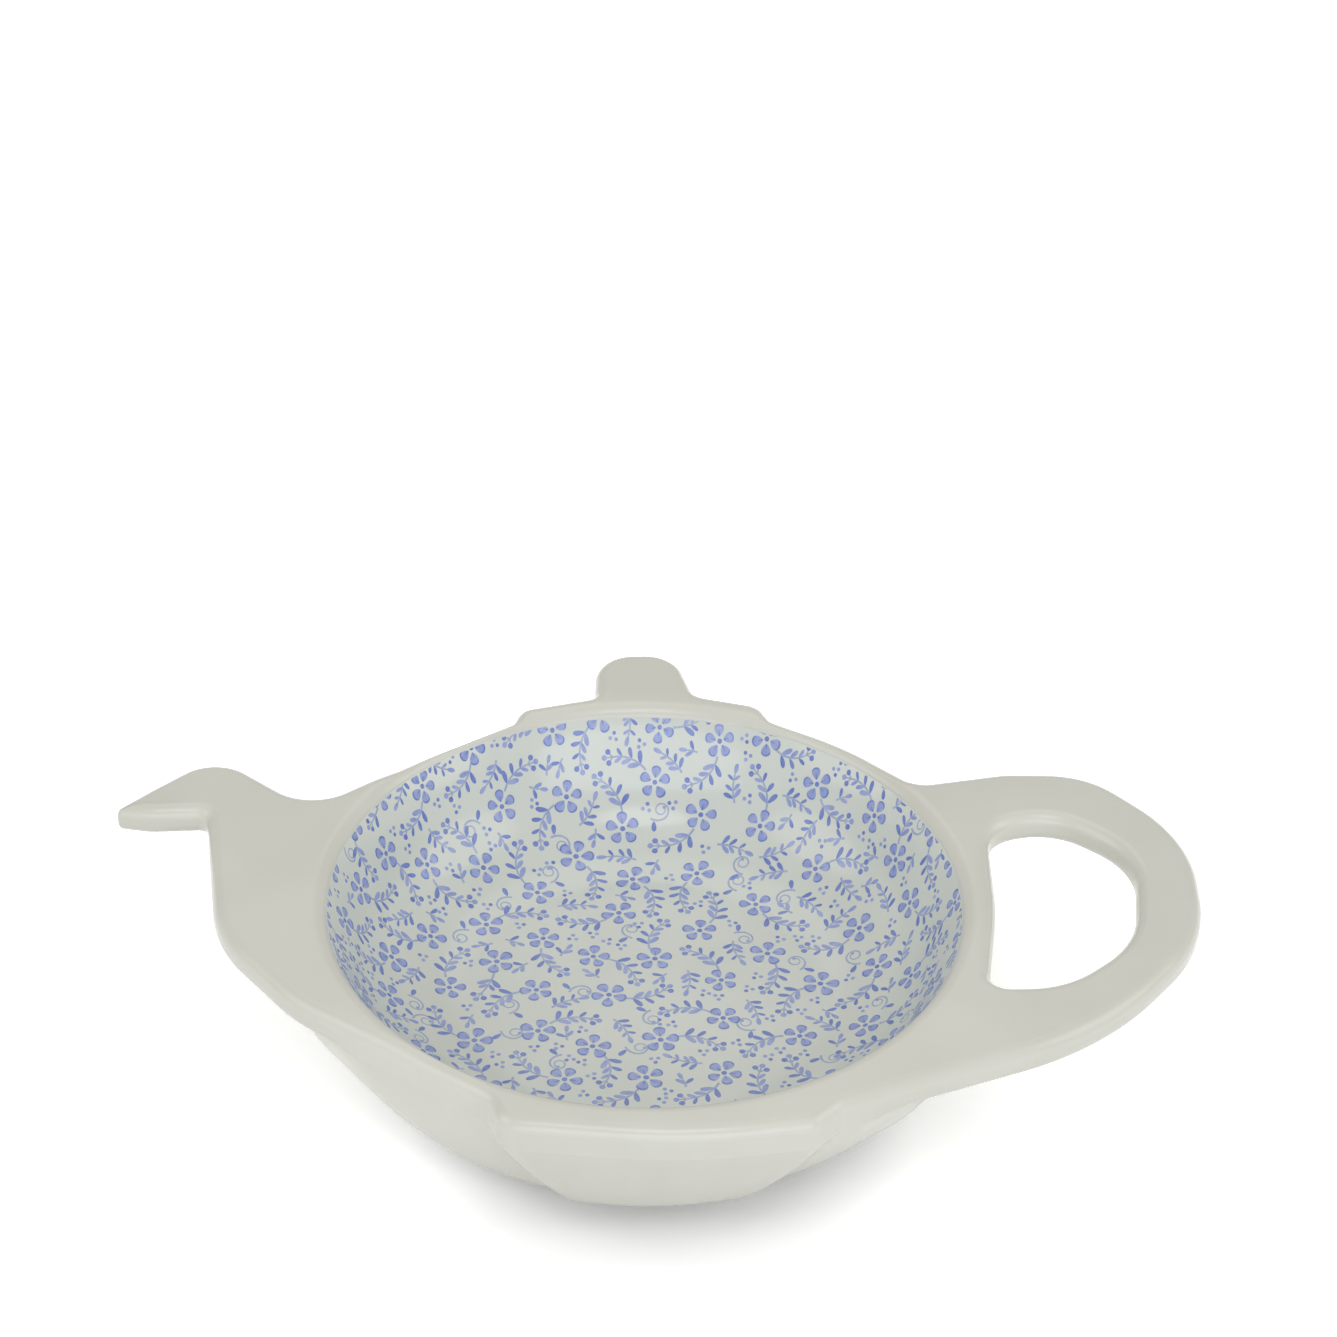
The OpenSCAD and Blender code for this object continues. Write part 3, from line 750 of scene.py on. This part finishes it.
def draw_print(inks):
    """Scatters flowers, gives each a sprig that grows into free ground, and fills the gaps."""
    rng = random.Random(23)
    flowers = [flower_master("flower_%d" % k, inks, rng) for k in range(3)]
    sprigs = [sprig_master("long_sprig", 6.4, 62, (0.2, 0.45, 0.7), 0.95, SPRIG_START, inks, rng),
              sprig_master("straight_sprig", 5.6, 24, (0.28, 0.58), 1.0, SPRIG_START, inks, rng),
              sprig_master("short_sprig", 3.2, 20, (0.45,), 0.85, SPRIG_START, inks, rng)]
    fern, fern_room = sprig_master("fern", 4.6, 34, (0.08, 0.4, 0.72), 0.8, -2.6, inks, rng, False)
    leafy, leafy_room = sprig_master("small_leaf", 1.8, 20, (0.3,), 0.72, -1.6, inks, rng, False)
    tendril, tendril_room = tendril_master("tendril", inks)
    dots, dots_room = dots_master("dots", inks)
    sheet = Sheet()
    spots = []
    for _ in range(9000):
        reach, angle = (PRINT_REACH + OVERHANG) * math.sqrt(rng.random()), rng.uniform(0, 360)
        x, y = turned([(reach, 0)], angle)[0]
        if all(math.hypot(x - a, y - b) > FLOWER_SPACING for a, b in spots):
            spots.append((x, y))
            sheet.take(x, y, FLOWER_R + 0.15)
            sheet.put(rng.choice(flowers), x, y, rng.uniform(0, 360), 1, rng.uniform(0.93, 1.06))
    # The longest sprig that fits somewhere around the flower, at the turn with the most room
    for x, y in spots:
        for piece, room in sprigs:
            start, best = rng.uniform(0, 360), None
            for k in range(72):
                degrees, mirror = start + 10 * (k // 2), 1 - 2 * (k % 2)
                discs = sheet.room_for(room, x, y, degrees, mirror)
                inside = max(math.hypot(d[0], d[1]) for d in discs) < PRINT_REACH + OVERHANG
                gap = min(sheet.gap(*d) for d in discs[1:] or discs) if inside else -9.0
                if best is None or gap > best[0]:
                    best = (gap, degrees, mirror, discs)
            if best[0] > -0.2:
                sheet.put(piece, x, y, best[1], best[2])
                for d in best[3]:
                    sheet.take(*d)
                break
    # What fills the gaps: each kind with its number of tries and the least gap that it keeps
    for piece, room, tries, least in ((fern, fern_room, 4000, -0.05), (tendril, tendril_room, 2500, 0.0),
                                      (leafy, leafy_room, 4000, -0.05), (dots, dots_room, 5000, 0.1)):
        for _ in range(tries):
            reach, angle = PRINT_REACH * math.sqrt(rng.random()), rng.uniform(0, 360)
            x, y = turned([(reach, 0)], angle)[0]
            degrees, mirror = rng.uniform(0, 360), rng.choice((-1, 1))
            discs = sheet.room_for(room, x, y, degrees, mirror)
            if min(sheet.gap(*d) for d in discs) > least:
                sheet.put(piece, x, y, degrees, mirror)
                for d in discs:
                    sheet.take(*d)
    masters = flowers + [p for p, _ in sprigs] + [fern, leafy, tendril, dots]
    deselect()
    for piece in masters:
        piece.hide_render = False
        piece.select_set(True)
    bpy.ops.object.delete()
    return sheet.copies


def lay(name, copies):
    """Joins the flat marks, trims them at the print's edge, lays them into the well and thickens the ink."""
    deselect()
    for piece in copies:
        piece.select_set(True)
    bpy.context.view_layer.objects.active = copies[0]
    bpy.ops.object.join()
    piece = bpy.context.object
    piece.name = piece.data.name = name
    bpy.ops.object.transform_apply(location=True, rotation=True, scale=True)
    mesh = piece.data
    reach = [math.hypot(v.co.x, v.co.y) / MM for v in mesh.vertices]

    def outside(face):
        return min(reach[v] for v in face.vertices) > PRINT_EDGE

    def upside_down(face):
        return face.normal.z < 0

    for chosen, action in ((outside, lambda: bpy.ops.mesh.delete(type="FACE")),
                           (upside_down, bpy.ops.mesh.flip_normals)):
        bpy.ops.object.mode_set(mode="EDIT")
        bpy.ops.mesh.select_mode(type="FACE")
        bpy.ops.mesh.select_all(action="DESELECT")
        bpy.ops.object.mode_set(mode="OBJECT")
        for face in mesh.polygons:
            face.select = chosen(face)
        bpy.ops.object.mode_set(mode="EDIT")
        action()
        bpy.ops.object.mode_set(mode="OBJECT")
    points = []
    for v in mesh.vertices:
        x, y, lift = v.co / MM
        far = math.hypot(x, y)
        # A mark ends at the edge: what is past it is squeezed to a fiftieth, so that its points stay apart
        r, z = well_section(min(far, PRINT_EDGE + (far - PRINT_EDGE) / 50), lift)
        a = math.atan2(y, x)
        points.append(Vector((r * math.cos(a), r * math.sin(a), z)))
    place(piece, points)
    film = piece.modifiers.new("film", "SOLIDIFY")
    film.thickness = FILM * MM
    film.offset = -1
    bpy.ops.object.modifier_apply(modifier=film.name)
    bpy.ops.object.shade_smooth_by_angle(angle=math.radians(40))
    return piece


def linear(code):
    """An sRGB hex colour as linear red, green, blue and alpha."""
    channels = [int(code[k:k + 2], 16) / 255 for k in (1, 3, 5)]
    return tuple(c / 12.92 if c <= 0.04045 else ((c + 0.055) / 1.055) ** 2.4 for c in channels) + (1.0,)


def add(tree, kind, inputs=None, **settings):
    """Adds a node with its settings. An input is a value, or the socket that feeds it."""
    node = tree.nodes.new(kind)
    for name, value in settings.items():
        setattr(node, name, value)
    for name, value in (inputs or {}).items():
        if isinstance(value, bpy.types.NodeSocket):
            tree.links.new(value, node.inputs[name])
        else:
            node.inputs[name].default_value = value
    return node


def material(name):
    """A new material and its empty node tree."""
    m = bpy.data.materials.new(name)
    m.use_nodes = True
    m.node_tree.nodes.clear()
    return m, m.node_tree


# Glaze is a glass, and the fired clay under it is close to one
GLASS_IOR = 1.5


def finish_surface(tree, colour, roughness, normal=None):
    """The shader and output that each of the dish's finishes ends in."""
    inputs = {"Base Color": colour, "Roughness": roughness, "IOR": GLASS_IOR}
    if normal:
        inputs["Normal"] = normal
    shader = add(tree, "ShaderNodeBsdfPrincipled", inputs)
    add(tree, "ShaderNodeOutputMaterial", {"Surface": shader.outputs["BSDF"]})


def wandering_colour(tree, low, high, spacing_mm, detail=2.0, rough=0.5, start=0.35, stop=0.65):
    """A colour that wanders between two in clouds about spacing_mm apart, and how dense the clouds are."""
    where = add(tree, "ShaderNodeTexCoord")
    clouds = add(tree, "ShaderNodeTexNoise", {
        "Vector": where.outputs["Object"], "Scale": 1 / (spacing_mm * MM),
        "Detail": detail, "Roughness": rough})
    ramp = add(tree, "ShaderNodeValToRGB", {"Fac": clouds.outputs["Fac"]})
    ramp.color_ramp.elements[0].position, ramp.color_ramp.elements[0].color = start, linear(low)
    ramp.color_ramp.elements[1].position, ramp.color_ramp.elements[1].color = stop, linear(high)
    return ramp.outputs["Color"], clouds.outputs["Fac"]


def glaze_waves(tree, deep_mm):
    """The normal of a glaze that stood in soft waves as it melted, 5.5 mm apart and up to deep_mm deep."""
    where = add(tree, "ShaderNodeTexCoord")
    wave = add(tree, "ShaderNodeTexNoise", {
        "Vector": where.outputs["Object"], "Scale": 1 / (5.5 * MM), "Detail": 1.0, "Roughness": 0.5})
    bump = add(tree, "ShaderNodeBump", {
        "Height": wave.outputs["Fac"], "Distance": deep_mm * MM, "Strength": 0.5})
    return bump.outputs["Normal"]


def make_glaze():
    """Warm white earthenware glaze, dipped and fired: a glossy, slightly uneven coat with soft highlights."""
    m, tree = material("earthenware_glaze")
    colour, density = wandering_colour(tree, "#D0CFC2", "#D6D5C9", 26)
    sheen = add(tree, "ShaderNodeMapRange", {"Value": density, "To Min": 0.16, "To Max": 0.24})
    finish_surface(tree, colour, sheen.outputs["Result"], glaze_waves(tree, 0.06))
    return m


def make_white_ground():
    """The well's glaze over the print: the same gloss on a cooler, whiter ground."""
    m, tree = material("white_print_ground")
    colour, _ = wandering_colour(tree, "#D1D5CB", "#D6DAD0", 22)
    finish_surface(tree, colour, 0.14, glaze_waves(tree, 0.05))
    return m


def make_biscuit():
    """Bare fired earthenware on the foot's sole: matt, chalky and a little gritty."""
    m, tree = material("bare_biscuit_earthenware")
    colour, grit = wandering_colour(tree, "#CFC3AE", "#DCD2C0", 0.8, detail=3.0)
    bump = add(tree, "ShaderNodeBump", {"Height": grit, "Distance": 0.08 * MM, "Strength": 0.6})
    finish_surface(tree, colour, 0.85, bump.outputs["Normal"])
    return m


def make_ink(name, light, dark):
    """Cobalt underglaze ink from a transfer: its density wanders, and the clear glaze lies over it."""
    m, tree = material(name)
    colour, _ = wandering_colour(tree, dark, light, 1.6, detail=3.0, rough=0.6, start=0.38, stop=0.62)
    finish_surface(tree, colour, 0.16)
    return m


# Strength of the sky's light, where 1 is white
WORLD_FILL = 0.40
# The lamps are aimed here, in millimetres
LIT_POINT = Vector((0, 0, 10))
# The dish's shadow is darkest around this place on the floor, and there the paint seen is darker too: painted
# shadow over the cast one. From there the paint's brightness and the glow rise from a first value to a second
# between two distances. Places and distances are in metres
SHADOW_MIDDLE = (0, -0.034, 0)
TONE, TONE_FROM, TONE_TO = (0.92, 1.4), 0.019, 0.038
GLOW, GLOW_FROM, GLOW_TO = (0.1, 0.6), 0.03, 0.2
# The photograph's camera, as fitted: its place from the middle of the well in millimetres, its focal length on
# a frame 36 mm wide, its heading and tilt, and its slight roll
CAMERA_PLACE = Vector((-25.29, -600.31, 492.9))
FRAME_W, FOCAL_LENGTH = 36.0, 137.5
HEADING, TILT, ROLLED = math.radians(-2.692), math.radians(35.36), math.radians(1.0)


def in_view(tree):
    """1 for rays that show a surface, straight, mirrored or through glass, and 0 for those that light it."""
    ray = add(tree, "ShaderNodeLightPath")
    seen = add(tree, "ShaderNodeMath", {0: ray.outputs["Is Camera Ray"], 1: ray.outputs["Is Glossy Ray"]},
               operation="MAXIMUM")
    seen = add(tree, "ShaderNodeMath", {0: seen.outputs[0], 1: ray.outputs["Is Transmission Ray"]},
               operation="MAXIMUM")
    return seen.outputs[0]


def make_stage():
    """A white floor that keeps the dish's shadow, deepened near its middle by painted shadow, under a white
    sky that lights it evenly.
    """
    deselect()
    bpy.ops.mesh.primitive_plane_add(size=3.0, location=(0, 0, 0))
    floor = bpy.context.object
    floor.name = "floor"
    m, tree = material("white_studio_floor")
    # The lamps light the floor to a little under white. What is seen of it is lifted to white by a brighter
    # paint and a glow, which both grow with the distance from the shadow's middle, so the shadow stays. Near
    # that middle the paint is darker than white, a painted shadow that deepens the cast one.
    paint = add(tree, "ShaderNodeBsdfDiffuse", {"Color": linear("#F4F4F4")})
    spot = add(tree, "ShaderNodeTexCoord")
    far = add(tree, "ShaderNodeVectorMath", {0: spot.outputs["Object"], 1: SHADOW_MIDDLE},
              operation="DISTANCE")
    # Painted shadow: the paint seen by the camera is darkest near the shadow's middle, and rises to white away
    # from it
    painted_shadow_tone = add(tree, "ShaderNodeMapRange", {"Value": far.outputs["Value"], "From Min": TONE_FROM,
                                            "From Max": TONE_TO, "To Min": TONE[0], "To Max": TONE[1]})
    paint_with_painted_shadow = add(tree, "ShaderNodeBsdfDiffuse", {"Color": painted_shadow_tone.outputs["Result"]})
    lift = add(tree, "ShaderNodeMapRange", {"Value": far.outputs["Value"], "From Min": GLOW_FROM,
                                            "From Max": GLOW_TO, "To Min": GLOW[0], "To Max": GLOW[1]})
    glow = add(tree, "ShaderNodeEmission", {"Color": (1, 1, 1, 1), "Strength": lift.outputs["Result"]})
    both = add(tree, "ShaderNodeAddShader", {0: paint_with_painted_shadow.outputs[0], 1: glow.outputs[0]})
    shown = add(tree, "ShaderNodeMixShader", {0: in_view(tree), 1: paint.outputs[0], 2: both.outputs[0]})
    add(tree, "ShaderNodeOutputMaterial", {"Surface": shown.outputs[0]})
    floor.data.materials.append(m)

    world = bpy.data.worlds.new("studio")
    bpy.context.scene.world = world
    world.use_nodes = True
    tree = world.node_tree
    tree.nodes.clear()
    fill = add(tree, "ShaderNodeBackground", {"Color": (1, 1, 1, 1), "Strength": WORLD_FILL})
    white = add(tree, "ShaderNodeBackground", {"Color": (1, 1, 1, 1), "Strength": 1.0})
    shown = add(tree, "ShaderNodeMixShader", {0: in_view(tree), 1: fill.outputs[0], 2: white.outputs[0]})
    add(tree, "ShaderNodeOutputWorld", {"Surface": shown.outputs[0]})


def lamp(name, place_mm, size_mm, watts, colour=(1, 1, 1)):
    """A soft lamp as wide and as high as its size says, aimed at the dish."""
    deselect()
    bpy.ops.object.light_add(type="AREA", location=[c * MM for c in place_mm])
    light = bpy.context.object
    light.name = name
    light.data.shape = "ELLIPSE"
    light.data.size, light.data.size_y = [c * MM for c in size_mm]
    light.data.energy = watts
    light.data.color = colour
    aim = LIT_POINT - Vector(place_mm)
    light.rotation_euler = aim.to_track_quat("-Z", "Y").to_euler()


def make_camera():
    """The photograph's camera: a long lens, low and a little to the left of the front."""
    data = bpy.data.cameras.new("camera")
    camera = bpy.data.objects.new("camera", data)
    bpy.context.scene.collection.objects.link(camera)
    data.sensor_width = FRAME_W
    data.lens = FOCAL_LENGTH
    data.clip_start = 0.01
    turn = (Matrix.Rotation(HEADING, 4, "Z") @ Matrix.Rotation(math.pi / 2 - TILT, 4, "X")
            @ Matrix.Rotation(ROLLED, 4, "Z"))
    camera.matrix_world = Matrix.Translation((CAMERA_PLACE + WELL) * MM) @ turn
    bpy.context.scene.camera = camera


make_camera()
make_stage()
lamp("front_low", (0, -700, 250), (1100, 420), 2.25, (0.87, 0.905, 1.0))
lamp("back_top", (0, 400, 600), (500, 450), 0.45)
lamp("softbox", (0, -320, 650), (320, 260), 0.55)
lamp("left_side", (-600, -100, 400), (500, 500), 0.85)
lamp("right_side", (600, -100, 400), (500, 500), 0.95)

dish = make_dish()
dish.data.materials.append(make_glaze())
dish.data.materials.append(make_biscuit())
# The glaze is wiped from the foot's sole
for face in dish.data.polygons:
    top = max(dish.data.vertices[v].co.z for v in face.vertices)
    face.material_index = 1 if top < (WIPE_H + 0.05) * MM else 0
lining = make_lining()
lining.data.materials.append(make_white_ground())
INKS = (make_ink("cobalt_ink", "#7A8CC8", "#667BBF"), make_ink("cornflower_ink", "#9EAAD4", "#8C9ACC"),
        make_ink("pale_blue_ink", "#A9B3CB", "#9AA6C4"))
blue_print = lay("floral_ink", draw_print(INKS))

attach(dish, "root")
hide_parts("dish_body", "glaze_coat")
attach(lining, "root")
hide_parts("floral_print")
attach(blue_print, "root")
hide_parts("floral_print")

bpy.context.scene.view_settings.view_transform = "Standard"
